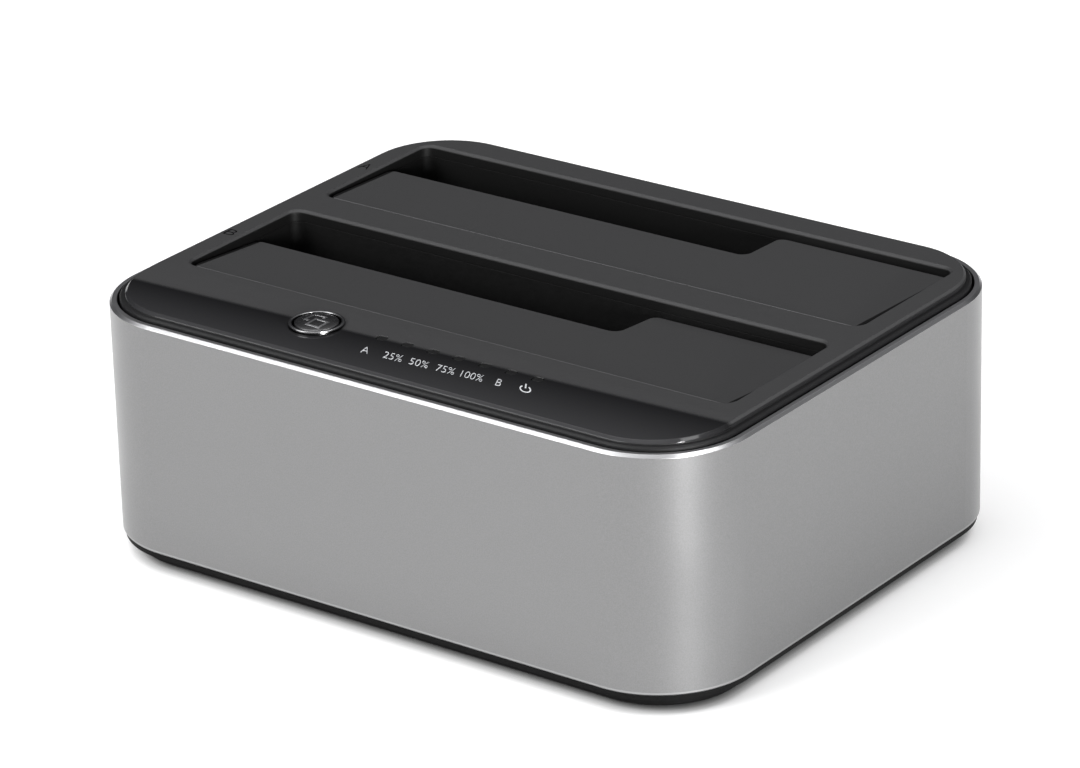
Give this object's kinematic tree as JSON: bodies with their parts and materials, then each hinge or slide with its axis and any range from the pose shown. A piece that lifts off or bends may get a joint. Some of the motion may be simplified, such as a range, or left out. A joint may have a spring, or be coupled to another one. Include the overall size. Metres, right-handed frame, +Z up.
{
  "type": "hard drive docking station",
  "caption": "Desktop dock with an aluminium sleeve, deep drive bays under hinged spring flaps, a round clone button and a row of indicator windows.",
  "frame": {"origin": "on the table, under the middle of the outline", "axes": "+X to the right as the button side is faced, +Y to the rear connectors, +Z up"},
  "size_m": [0.1186, 0.0938, 0.045],
  "materials": {
    "sleeve_aluminium": "bead blasted and anodised, satin",
    "cover_plastic": "moulded black, fine texture",
    "base_plastic": "moulded black",
    "foot_rubber": "matte",
    "screw_steel": "black zinc plated",
    "well_plastic": "moulded black",
    "flap_plastic": "moulded black, fine texture",
    "pin_steel": "ground",
    "spring_steel": "drawn wire",
    "connector_plastic": "moulded black",
    "contact_gold": "gold plated",
    "board_laminate": "green solder mask",
    "chip_plastic": "moulded black",
    "capacitor_can": "satin",
    "inductor_body": "pressed ferrite grey",
    "port_steel": "nickel plated",
    "slider_plastic": "moulded dark grey",
    "led_body": "clear over white",
    "window_plastic": "smoked clear",
    "button_metal": "dark metallised, domed",
    "ring_chrome": "polished",
    "header_plastic": "moulded cream",
    "ribbon_plastic": "grey, eight way"
  },
  "bodies": {
    "housing": {"aluminium_sleeve": "sleeve_aluminium", "top_cover": "cover_plastic", "base_tray": "base_plastic", "rubber_feet": "foot_rubber", "base_screws": "screw_steel", "board_screws": "screw_steel", "front_board_screws": "screw_steel", "bay_well_a": "well_plastic", "bay_well_b": "well_plastic", "flap_a_pin": "pin_steel", "flap_b_pin": "pin_steel", "flap_a_spring": "spring_steel", "flap_b_spring": "spring_steel", "sata_socket_a": "connector_plastic", "sata_socket_b": "connector_plastic", "sata_contacts_a": "contact_gold", "sata_contacts_b": "contact_gold", "main_board": "board_laminate", "bridge_chip": "chip_plastic", "clone_chip": "chip_plastic", "power_capacitors": "capacitor_can", "power_inductors": "inductor_body", "rear_panel": "base_plastic", "dc_jack": "connector_plastic", "usb_port": "port_steel", "power_switch_body": "connector_plastic", "front_board": "board_laminate", "indicator_leds": "led_body", "light_guide": "window_plastic", "switch_body": "connector_plastic", "button_ring": "ring_chrome", "board_header": "header_plastic", "front_header": "header_plastic", "ribbon_cable": "ribbon_plastic"},
    "flap_a": {"flap_a": "flap_plastic"},
    "flap_b": {"flap_b": "flap_plastic"},
    "clone_button": {"clone_button": "button_metal", "switch_plunger": "slider_plastic"},
    "power_slider": {"power_slider": "slider_plastic"}
  },
  "joints": [
    {"name": "flap_a_hinge", "type": "hinge", "parent": "housing", "child": "flap_a", "pos_m": [0, 0.0078, 0.0408], "axis": [-1, 0, 0], "range_deg": [0, 86], "stiffness_Nm_per_rad": 0.004, "springref_deg": -28.65, "deforming": ["flap_a_spring"]},
    {"name": "flap_b_hinge", "type": "hinge", "parent": "housing", "child": "flap_b", "pos_m": [0, -0.0278, 0.0408], "axis": [-1, 0, 0], "range_deg": [0, 83.5], "stiffness_Nm_per_rad": 0.004, "springref_deg": -28.65, "deforming": ["flap_b_spring"]},
    {"name": "clone_button_press", "type": "slide", "parent": "housing", "child": "clone_button", "axis": [0, 0, -1], "range_m": [0, 0.0005], "stiffness_N_per_m": 150, "springref_m": -0.0005},
    {"name": "power_slider_slide", "type": "slide", "parent": "housing", "child": "power_slider", "axis": [1, 0, 0], "range_m": [0, 0.002]}
  ]
}
